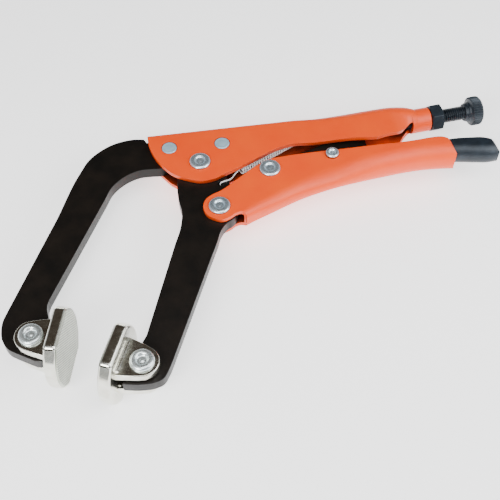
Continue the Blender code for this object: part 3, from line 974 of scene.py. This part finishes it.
@dataclass
class Jaws:
    """The two bar jaws and the toggle link."""

    finishes: Finishes
    bar: float = 4.0
    link: float = 3.0
    edge: float = 0.45
    boss: float = 11.5

    def _bar(self, name: str, loop: np.ndarray, half: float, body: str, *bores: tuple[Pair, float]) -> None:
        """Cut, drill and soften one flat bar.

        Args:
            name: Node that the bar replaces.
            loop: Its outline.
            half: Half its thickness.
            body: Body that it rides on.
            bores: Centre and radius of each hole.
        """
        obj = soften(drilled(prism(name + "_bar", loop, -half, half), *bores), self.edge)
        dress(obj, self.finishes.black, body, "black_oxide", name)

    def fixed(self) -> None:
        """Fixed jaw, its tang between the cheeks of the upper handle."""
        loop = smooth_loop(
            sharp((24, 24), (-31.5, 27.6), (-33, 31.3))
            + soft((-39, 32.7), (-45.7, 32.9), (-55.1, 31.2), (-63.5, 27.3), (-71.3, 21.5), (-79.2, 10.5))
            + sharp((-98, -24.4), (-132.9, -85.7))
            + soft((-136.3, -92.3), (-137.6, -98.3), (-137.5, -104.6), (-134.5, -111.5))
            + sharp((-130.3, -115.2), (-120.2, -122.6), (-116.3, -123.6))
            + circle(FIXED_PAD, self.boss, -60, 30) + sharp((-109.9, -94.6))
            + soft((-110.2, -91.7), (-110, -87.5)) + sharp((-108.4, -83.5), (-66, -15.3))
            + soft((-60, -5.9), (-54, -0.8), (-46.8, 2.8), (-39.9, 4.3), (-33.3, 3.8))
            + sharp((-26.7, 2.7), (-17, 4)) + circle(pivot("jaw_opening"), 14.2, 155, 20) + sharp((24, 4.0)))
        self._bar("fixed_jaw", loop, self.bar, "frame",
                  (FRONT_RIVET, FLUSH_BORE), (REAR_RIVET, FLUSH_BORE), (FIXED_PAD, PIN_BORE))

    def moving(self) -> None:
        """Moving jaw, which turns on the upper handle and carries the lower one."""
        handle = pivot("handle_swing")
        loop = smooth_loop(
            circle(pivot("jaw_opening"), 13.2, 0, 180)
            + soft((-15.5, -4), (-17.2, -10), (-18.7, -16.5), (-19.5, -27.2), (-19.4, -36.5), (-22.4, -48.1))
            + sharp((-28.5, -61), (-56, -120.5), (-58.2, -123.4)) + circle(MOVING_PAD, self.boss, 102, 192)
            + sharp((-74.3, -148.4))
            + soft((-64.6, -151), (-56.3, -151.6), (-51.6, -150.5), (-47.3, -145.7))
            + sharp((-43.9, -140.1), (-9.2, -77.3)) + soft((-1.5, -63.5), (1.8, -57.1), (7.6, -51.4))
            + circle(handle, 12.0, -60, 0) + soft((15.6, -20)))
        self._bar("moving_jaw", loop, self.bar, "jaw", (pivot("jaw_opening"), PIN_BORE), (handle, PIN_BORE),
                  (MOVING_PAD, PIN_BORE), (SPRING_HOLE, SPRING_BORE))

    def toggle(self) -> None:
        """Toggle link between the lower handle and the adjusting screw."""
        centre = pivot("link_swing")
        loop = smooth_loop(
            circle(centre, 7.5, 106, 270) + soft((60, -19.5), (78, -9.5), (96, -8.2), (104, -9.0))
            + sharp((114, -9.4), (114, 10)) + soft((107, 10), (98, 5.5), (80, -1.5)))
        self._bar("toggle_link", loop, self.link, "link", (centre, PIN_BORE))


@dataclass
class ReleaseLever:
    """Small channel lever nested in the lower handle, its tail reaching out behind."""

    finishes: Finishes
    wall: float = 1.9

    def build(self) -> None:
        """Press the channel, trim it to its side outline and drill it."""
        sheet = Channel([
            (78, 4.0, 3.0, 3.0, -19.5, 16, 0), (100, 4.0, 3.0, 3.0, -23.5, 16, 0),
            (112, 4.4, 3.6, 4.0, -26.0, 14, 0), (126, 6.2, 6.0, 6.0, -28.0, 6, 0),
            (140, 7.4, 7.2, 7.6, -28.6, 1.5, 0), (158, 7.8, 7.6, 8.0, -29.6, 2, 0),
            (171, 8.0, 7.8, 8.2, -31.8, 4, 0), (184, 8.0, 7.8, 8.2, -35.2, 8, 0),
            (192, 8.0, 7.8, 8.2, -37.0, 10, 0), (200, 8.0, 7.8, 8.2, -37.0, 10, 0),
        ], Web.PALM, self.wall)
        centre = pivot("lever_squeeze")
        side = smooth_loop(
            circle(centre, 4.0, 80, 250) + sharp((95, -40), (188, -60), (190, -40))
            + soft((196, -38.5), (199, -34.8), (198.4, -30), (195, -25.6), (190.5, -23.2), (184, -21.8),
                   (170, -19.8), (158, -19.9), (146, -21.8), (132, -20.9), (118, -17.9), (106, -14.8),
                   (96, -12.2)))
        plan = soft((193, -9.6), (196.6, -7.4), (198.8, -4), (199.4, 0), (198.8, 4), (196.6, 7.4), (193, 9.6))
        obj = drilled(pressed(sheet, "release_lever_shell", side, plan), (centre, LEVER_BORE))
        smooth(obj, PRESSED_CREASE)
        dress(obj, self.finishes.phosphate, "lever", "dark_phosphate", "release_lever")


@dataclass
class Rivets:
    """Turned rivets: hollow heads on the pivots, flush heads on the fixed jaw."""

    finishes: Finishes
    steps: int = 72
    cheek: float = 7.3
    gap: float = 0.3
    proud: float = 0.25

    def headed(self, name: str, centre: Pair, pin: float, head: float, face: float,
               height: float, finish: tuple[Material, str], body: str) -> None:
        """Rivet with a rolled rim round a shallow dish on both ends.

        Args:
            name: Node that the rivet replaces.
            centre: Its axis.
            pin: Shank radius.
            head: Head radius.
            face: Height of the face that the head sits on.
            height: Head height.
            finish: Material and slot.
            body: Body that it rides on.
        """
        low = face + self.gap
        shape = np.array([
            (0.0, 0.50), (0.10, 0.49), (0.16, 0.40), (0.30, 0.30), (0.38, 0.34), (0.44, 0.55), (0.50, 0.86),
            (0.58, 0.98), (0.68, 1.0), (0.78, 0.97), (0.87, 0.86), (0.94, 0.66), (0.985, 0.38), (1.0, 0.12),
            (0.99, 0.0),
        ])
        half = np.vstack([shape * [head, height] + [0.0, low], [(pin, low)]])
        self._turn(name, half, centre, finish, body)

    def _turn(self, name: str, half: np.ndarray, centre: Pair, finish: tuple[Material, str],
              body: str) -> None:
        """Turn one rivet, the same on both sides of the mid-plane.

        Args:
            name: Node that the rivet replaces.
            half: Profile of its near half.
            centre: Its axis.
            finish: Material and slot.
            body: Body that it rides on.
        """
        obj = turned(name + "_piece", np.vstack([half, half[::-1] * [1, -1]]), centre, self.steps)
        dress(obj, finish[0], body, finish[1], name)

    def flush(self, name: str, centre: Pair) -> None:
        """Rivet ground nearly level with the cheek, with a faint ring left by the punch.

        Args:
            name: Node that the rivet replaces.
            centre: Its axis.
        """
        top = self.cheek + self.proud
        half = np.array([(0.0, top), (2.6, top - 0.02), (3.0, top - 0.16), (3.4, top - 0.02), (4.4, top),
                         (4.8, top - 0.12), (5.0, top - 0.4)])
        self._turn(name, half, centre, (self.finishes.ground, "bright_zinc"), "frame")

    def build(self) -> None:
        """Make all six rivets of the handles and jaws."""
        zinc = (self.finishes.zinc, "bright_zinc")
        big = (4.0, 7.0, self.cheek, 1.4)
        self.headed("jaw_pivot_rivet", pivot("jaw_opening"), *big, zinc, "frame")
        self.headed("handle_pivot_rivet", pivot("handle_swing"), *big, zinc, "handle")
        self.headed("toggle_rivet", pivot("link_swing"), *big, zinc, "handle")
        self.headed("release_lever_rivet", pivot("lever_squeeze"), 2.2, 4.5, self.cheek + 1.0, 1.4,
                    zinc, "handle")
        self.flush("front_jaw_rivet", FRONT_RIVET)
        self.flush("rear_jaw_rivet", REAR_RIVET)


@dataclass
class ScrewSet:
    """Adjusting screw, its knob and its lock nut."""

    finishes: Finishes
    tip: float = 120.2
    end: float = 199.2
    radius: float = 4.9
    pitch: float = 1.5
    depth: float = 1.1
    bore: float = 5.2
    nut_x: Pair = (164.8, 173.3)
    nut_flat: float = 8.5

    def _turn(self, name: str, body: str, profile: np.ndarray, wave: np.ndarray,
              closed: bool = False) -> Piece:
        """Turn one piece along the screw's axis.

        Args:
            name: Node that the piece replaces.
            body: Body that it rides on.
            profile: Rows of radius and x.
            wave: Added to the radius, one row for each profile point.
            closed: The profile is a ring.

        Returns:
            The piece.
        """
        obj = turned(name + "_piece", profile, SCREW_AXIS, wave.shape[1], True, wave, closed)
        dress(obj, self.finishes.phosphate, body, "dark_phosphate", name)
        return obj

    def screw(self) -> None:
        """Threaded rod: the radius falls by a flattened triangle wave of x/pitch minus turns."""
        angles, end = full_turn(48), self.end
        x = np.arange(self.tip + 0.2, end - 0.2, self.pitch / 8)
        phase = (x[:, None] / self.pitch - angles / (2 * math.pi)) % 1.0
        wave = -self.depth * np.clip(np.abs(phase - 0.5) * 2.6 - 0.2, 0, 1)
        taper = np.minimum(1.0, np.minimum(x - self.tip, end - x) / 1.5)
        body = np.column_stack([self.radius - 1.2 * (1 - taper), x])
        blunt = self.radius - 1.9
        profile = np.vstack([[(0.0, self.tip), (blunt, self.tip)], body, [(blunt, end), (0.0, end)]])
        full = np.zeros((len(profile), len(angles)))
        full[2:-2] = wave * taper[:, None]
        self._turn("adjusting_screw", "screw", profile, full)

    def knob(self) -> None:
        """Knob: stepped hub, then a disc with flutes cut as a squared cosine of the angle."""
        flutes, depth, disc_from = 36, 0.75, 194.7
        profile = np.array([
            (0.0, 202.0), (3.0, 202.0), (5.4, 202.05), (5.8, 202.4), (8.3, 202.4), (8.9, 202.25),
            (9.5, 201.8), (10.0, 201.2), (10.1, 200.9), (10.1, 200.4), (10.1, 199.2), (10.1, 198.0),
            (10.1, 196.0), (9.8, 195.4), (9.3, 195.0), (8.4, 194.8), (7.4, 194.5), (7.0, 194.1),
            (6.95, 193.6), (7.0, 193.3), (6.8, 193.0),
            (6.4, 192.8), (6.4, 192.4), (6.6, 192.1), (6.5, 191.8), (6.2, 191.5), (6.2, 191.1), (6.1, 190.9),
            (5.8, 190.6), (self.bore, 190.6), (self.bore, 199.5), (0.0, 199.5),
        ])
        fade = np.interp(profile[:, 0], [8.9, 9.9], [0.0, 1.0]) * (profile[:, 1] > disc_from)
        wave = -depth * fade[:, None] * np.cos(full_turn(360) * flutes / 2) ** 2
        self._turn("screw_knob", "knob", profile, wave)

    def nut(self) -> None:
        """Hexagon nut: at each angle the radius is the hexagon's or the chamfer cone's, the smaller."""
        angles, (low, high), flat = full_turn(240), self.nut_x, self.nut_flat
        hexagon = flat / np.cos((angles - math.radians(8.0)) % (math.pi / 3) - math.pi / 6)
        inset = np.array([0.0, 0.12, 0.3, 0.5, 0.75, 1.0, 1.3])
        x = np.concatenate([high - inset, low + inset[::-1]])
        cone = (flat - 0.2) + np.minimum(x - low, high - x) / math.tan(math.radians(30.0))
        outer = np.minimum(hexagon[None, :], cone[:, None])
        faces = np.column_stack([np.full(len(x), flat), x])
        profile = np.vstack([[(self.bore, high)], faces, [(self.bore, low)]])
        full = np.zeros((len(profile), len(angles)))
        full[1:-1] = outer - flat
        smooth(self._turn("lock_nut", "nut", profile, full, closed=True), 25.0)


@dataclass
class Spring:
    """Tension spring: hook in the moving jaw, close coil, eye on the tongue of the upper handle."""

    finishes: Finishes
    radius: float = 2.3
    wire: float = 0.48
    pitch: float = 1.9
    start: Pair = (25.3, -8.0)
    end: Pair = (67.0, 9.0)
    tongue: Pair = (77.5, 13.0)
    eye: float = 2.7

    def build(self) -> None:
        """Sweep a round wire along the hook, the helix and the eye.

        The helix is a circle across the coil's axis that moves one pitch along it each turn. The
        spring stretches between the moving jaw and the upper handle.
        """
        start = np.array(self.start)
        run = np.array(self.end) - start
        length = float(np.linalg.norm(run))
        forward = run / length
        side = np.array([-forward[1], forward[0]])
        turns = round(length / self.pitch)
        angles = np.linspace(0.0, 2 * math.pi * turns, 16 * turns + 1)
        line = start + np.linspace(0.0, length, len(angles))[:, None] * forward
        coil = np.column_stack([line + self.radius * np.sin(angles)[:, None] * side,
                                self.radius * np.cos(angles)])
        hook = np.array([
            (*SPRING_HOLE, -3.0), (*SPRING_HOLE, 3.4), (10.2, -18.6, 4.4), (11.5, -18.5, 4.75),
            (15.8, -17.8, 4.7), (17.8, -15.7, 3.0), (21.5, -11.6, 2.6),
        ])
        turn = np.radians(np.arange(140.0, -161.0, -15.0))
        eye = np.column_stack([self.tongue[0] + self.eye * np.cos(turn), np.full(len(turn), self.tongue[1]),
                               self.eye * np.sin(turn)])
        lead = np.array([(70.0, 10.6, 2.3), (73.0, 12.2, 2.4)])
        path = np.vstack([hook, coil, lead, eye])
        curve = bpy.data.curves.new("wire", "CURVE")
        curve.dimensions = "3D"
        curve.bevel_depth = self.wire * MM
        curve.bevel_resolution = 2
        curve.use_fill_caps = True
        spline = curve.splines.new("POLY")
        spline.points.add(len(path) - 1)
        places = np.column_stack([ORIGIN + path * MM, np.ones(len(path))])
        spline.points.foreach_set("co", places.ravel())
        source = linked("wire", curve)
        bpy.context.view_layer.update()
        mesh = bpy.data.meshes.new_from_object(source.evaluated_get(bpy.context.evaluated_depsgraph_get()))
        bpy.data.objects.remove(source)
        obj = linked("tension_spring_piece", mesh)
        smooth(tidy(obj), 60.0)
        mesh.materials.clear()
        mesh.materials.append(self.finishes.wire)
        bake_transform(obj)
        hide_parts("tension_spring")

    @staticmethod
    def _place(point: np.ndarray) -> Triple:
        """A tool point in the row frame.

        Args:
            point: x, y and z in tool millimetres.

        Returns:
            The point in metres.
        """
        return tuple(ORIGIN + point * MM)


@dataclass
class SwivelPad:
    """Swivel pad with its rivet and washers.

    The plate stands square to local +X from back to face, and the ears reach back round the pin.
    """

    finishes: Finishes
    rivets: Rivets
    name: str
    centre: Pair
    angle: float
    swivel: str
    carrier: str
    back: float = 12.0
    face: float = 19.5
    plate_edge: float = 1.8
    tooth_pitch: float = 1.5
    tooth_slope: float = 42.0
    tooth_margin: float = 1.9
    tooth_peak: float = 0.3
    tooth_root: float = 0.05
    tooth_floor: float = 0.4
    facing_from: float = 0.8
    shaded_side_from: float = 0.15
    ear_z: Pair = (5.5, 11.0)
    ear_radius: float = 9.7
    washer_radius: float = 7.8

    def serrations(self, rim: np.ndarray) -> Piece:
        """Diagonal teeth on the gripping face.

        Lines at every half pitch across the teeth are cut off at the face's rim, and stand at the
        valley's height and the peak's height in turn; a floor below closes the sheet.

        Args:
            rim: Outline of the face.

        Returns:
            The closed sheet of teeth, lying in the outline's plane.
        """
        slope = math.radians(self.tooth_slope)
        across = np.array([math.cos(slope), math.sin(slope)])
        along = np.array([-across[1], across[0]])
        inner = rim * (1 - self.tooth_margin / np.linalg.norm(rim, axis=1))[:, None]
        here = np.column_stack([inner @ across, inner @ along])
        there = np.roll(here, -1, axis=0)
        reach = float(here[:, 0].max()) - 0.3
        line = np.arange(-reach, reach, self.tooth_pitch / 2)[:, None]
        crossed = (here[:, 0] - line) * (there[:, 0] - line) < 0
        run = np.where(crossed, there[:, 0] - here[:, 0], 1.0)
        place = here[:, 1] + (line - here[:, 0]) / run * (there[:, 1] - here[:, 1])
        low = np.where(crossed, place, np.inf).min(axis=1)
        high = np.where(crossed, place, -np.inf).max(axis=1)
        share = np.linspace(0, 1, 9)
        span = low[:, None] + (high - low)[:, None] * share
        flat = line[..., None] * across + span[..., None] * along
        top = self.face + np.where(np.arange(len(line)) % 2, self.tooth_peak, -self.tooth_root)
        heights = np.broadcast_to(top[:, None], span.shape)
        floor = np.full_like(heights, self.face - self.tooth_floor)
        sides = [np.dstack([flat, heights]), np.dstack([flat, floor])[:, ::-1]]
        return folded_sheet("teeth", np.concatenate(sides, axis=1))

    def plate(self) -> Piece:
        """Barrel-shaped plate, its long edges bowed out.

        Returns:
            The plate with its teeth.
        """
        rim = smooth_loop(
            sharp((-13, -22.5), (13, -22.5)) + soft((19.6, -13), (22.6, 0), (19.6, 13))
            + sharp((13, 22.5), (-13, 22.5)) + soft((-19.6, 13), (-22.6, 0), (-19.6, -13)))
        obj = prism(self.name + "_piece", rim, self.back, self.face)
        soften(obj, self.plate_edge, 4)
        joined(obj, self.serrations(rim))
        return transformed(obj, Matrix(((0, 0, 1, 0), (1, 0, 0, 0), (0, 1, 0, 0), (0, 0, 0, 1))))

    def ear(self, side: int) -> Piece:
        """One ear: a disc round the pin that widens by tangents into the plate.

        Args:
            side: 1 for the near ear and -1 for the far one.

        Returns:
            The ear.
        """
        root, radius = (self.back + 1.0, 13.0), self.ear_radius
        tangent = math.degrees(math.atan2(root[1], root[0]) + math.acos(radius / math.hypot(*root)))
        arc = circle((0, 0), radius, tangent, 360 - tangent)
        low, high = sorted((side * self.ear_z[0], side * self.ear_z[1]))
        obj = prism("ear", smooth_loop(sharp(root) + arc + sharp((root[0], -root[1]))), low, high)
        return soften(drilled(obj, ((0.0, 0.0), PIN_BORE)), 0.7, 3)

    def root(self, side: int) -> Piece:
        """Thick rounded root where an ear leaves the plate: a bar with round ends.

        Args:
            side: 1 for the near ear and -1 for the far one.

        Returns:
            The root.
        """
        angles = np.linspace(0, math.pi / 2, 7)
        radius, half = 3.1, 12.6
        end = np.column_stack([radius * np.sin(angles), half - radius + radius * np.cos(angles)])
        profile = np.vstack([end, end[::-1] * [1, -1]])
        steps = 32
        points = turned_points(profile, full_turn(steps))[..., [0, 2, 1]]
        points = points + np.array([self.back - 0.2, 0.0, side * sum(self.ear_z) / 2])
        obj = mesh_object("root", points.reshape(-1, 3), grid_faces(len(profile), steps, wrap_columns=True))
        return smooth(tidy(obj, outward=True), 60.0)

    def washer(self, label: str, side: int) -> None:
        """Spacing washer between the jaw and an ear.

        Args:
            label: Near or far.
            side: 1 for near and -1 for far.
        """
        low, high, edge, radius = 4.3, 5.2, 0.2, self.washer_radius
        ring = np.array([(radius - edge, high), (radius, high - edge), (radius, low + edge),
                         (radius - edge, low), (PIN_BORE, low), (PIN_BORE, high)]) * [1, side]
        name = f"{self.name}_washer_{label}"
        obj = turned(name + "_piece", ring, self.centre, 64, closed=True)
        dress(obj, self.finishes.cream, self.carrier, "pad_zinc", name)

    def build(self) -> None:
        """Make the pad, its rivet and both washers."""
        obj = self.plate()
        plate_faces = len(obj.data.polygons)
        joined(obj, *(part(side) for side in (1, -1) for part in (self.ear, self.root)))
        normals = np.empty(len(obj.data.polygons) * 3)
        obj.data.polygons.foreach_get("normal", normals)
        out, across = normals.reshape(-1, 3).T[:2]
        # Painted shade: the sides of the teeth that face local +Y take the darker copy of the grip finish.
        shaded_side = across > self.shaded_side_from
        facing = out > self.facing_from
        facing[plate_faces:] = False
        moved(obj, self.centre, self.angle)
        smooth(obj, TURNED_CREASE)
        dress(obj, self.finishes.cream, self.swivel, "pad_zinc", self.name)
        obj.data.materials.append(self.finishes.grip)
        obj.data.materials.append(self.finishes.grip_shaded_side)
        obj.data.polygons.foreach_set("material_index", facing.astype(np.int32) * (1 + shaded_side))
        self.rivets.headed(self.name + "_rivet", self.centre, 4.0, 7.2, self.ear_z[1], 2.2,
                           (self.finishes.rivet, "pad_zinc"), self.carrier)
        self.washer("near", 1)
        self.washer("far", -1)


@dataclass
class Studio:
    """Floor, lights and camera."""

    eye: Triple = (-54.4, -372.9, 432.5)
    aim: Triple = (16.8, -72.8, 0.0)
    lens: float = 61.2
    floor: float = 4.0
    glow: float = 1.35

    def build(self) -> None:
        """Lay the floor, hang the soft lights and set the camera."""
        self._floor()
        for name, place, size, power, colour in (
            ("key", (-420.0, -480.0, 460.0), 0.35, 5.0, (1.0, 0.99, 0.97)),
            ("fill", (460.0, -300.0, 400.0), 0.45, 3.5, (0.96, 0.98, 1.0)),
            ("top", (20.0, -200.0, 750.0), 0.40, 2.2, (1.0, 1.0, 1.0)),
        ):
            self._light(name, place, size, power, colour)
        self._world()
        data = bpy.data.cameras.new("camera")
        data.lens = self.lens
        camera = linked("camera", data)
        self._aim(camera, self.eye)
        bpy.context.scene.camera = camera

    def _world(self) -> None:
        """Pale surroundings with one dark brown patch high behind the tool, for its flat faces."""
        world = bpy.data.worlds.new("studio")
        world.use_nodes = True
        nodes, links = world.node_tree.nodes, world.node_tree.links
        nodes["Background"].inputs["Strength"].default_value = 0.48
        toward = nodes.new("ShaderNodeVectorMath")
        toward.operation = "DOT_PRODUCT"
        toward.inputs[1].default_value = (0.05, 0.62, 0.78)
        links.new(nodes.new("ShaderNodeTexCoord").outputs["Generated"], toward.inputs[0])
        shade = nodes.new("ShaderNodeValToRGB")
        stops = ((0.70, (0.92, 0.96, 1.0)), (0.92, (0.10, 0.075, 0.055)))
        for element, (place, colour) in zip(shade.color_ramp.elements, stops):
            element.position = place
            element.color = (*colour, 1.0)
        links.new(toward.outputs["Value"], shade.inputs["Fac"])
        links.new(shade.outputs["Color"], nodes["Background"].inputs["Color"])
        bpy.context.scene.world = world

    def _aim(self, obj: Piece, place: Triple) -> None:
        """Put an object at a tool point and point it at the middle of the tool.

        Args:
            obj: Lamp or camera.
            place: The point in tool millimetres.
        """
        position = Vector(ORIGIN + np.array(place) * MM)
        target = Vector(ORIGIN + np.array(self.aim) * MM)
        obj.location = position
        obj.rotation_euler = (target - position).to_track_quat("-Z", "Y").to_euler()

    def _floor(self) -> None:
        """Pale floor, level with the tool's underside."""
        span = self.floor
        points = np.array([(-span, -span, 0.0), (span, -span, 0.0), (span, span, 0.0), (-span, span, 0.0)])
        mesh = bpy.data.meshes.new("floor")
        mesh.from_pydata(points.tolist(), [], [(0, 1, 2, 3)])
        paint = Paint("floor_paper")
        cloud = paint.noise(Grain(3.0, 2.0))
        paint.join(paint.ramp(cloud, (0.3, (0.86, 0.86, 0.86)), (0.7, (0.90, 0.90, 0.90))), "Base Color")
        paint.set({"Roughness": 0.9, "Emission Strength": self.glow})
        paint.shader.inputs["Emission Color"].default_value = (1.0, 1.0, 1.0, 1.0)
        mesh.materials.append(paint.material)
        linked("floor", mesh)

    def _light(self, name: str, place: Triple, size: float, power: float,
               colour: Triple) -> None:
        """Hang one square soft light.

        Args:
            name: Its name.
            place: Its place in tool millimetres.
            size: Side of the square in metres.
            power: Power in watts.
            colour: Its colour.
        """
        data = bpy.data.lights.new(name, "AREA")
        data.shape = "SQUARE"
        data.size = size
        data.energy = power
        data.color = colour
        self._aim(linked(name, data), place)


def main() -> None:
    """Build the tool piece by piece, then the studio round it."""
    logging.basicConfig(level=logging.INFO)
    finishes = Finishes()
    handles = Handles(finishes)
    handles.upper()
    handles.lower()
    LOG.info("handles done")
    jaws = Jaws(finishes)
    jaws.fixed()
    jaws.moving()
    jaws.toggle()
    LOG.info("jaws and link done")
    ReleaseLever(finishes).build()
    rivets = Rivets(finishes)
    rivets.build()
    LOG.info("rivets done")
    screws = ScrewSet(finishes)
    screws.screw()
    screws.knob()
    screws.nut()
    LOG.info("screw set done")
    Spring(finishes).build()
    SwivelPad(finishes, rivets, "fixed_pad", FIXED_PAD, -19.3, "fixed_swivel", "frame").build()
    SwivelPad(finishes, rivets, "moving_pad", MOVING_PAD, 152.0, "moving_swivel", "jaw").build()
    LOG.info("pads done")
    Studio().build()


if __name__ == "__main__":
    main()
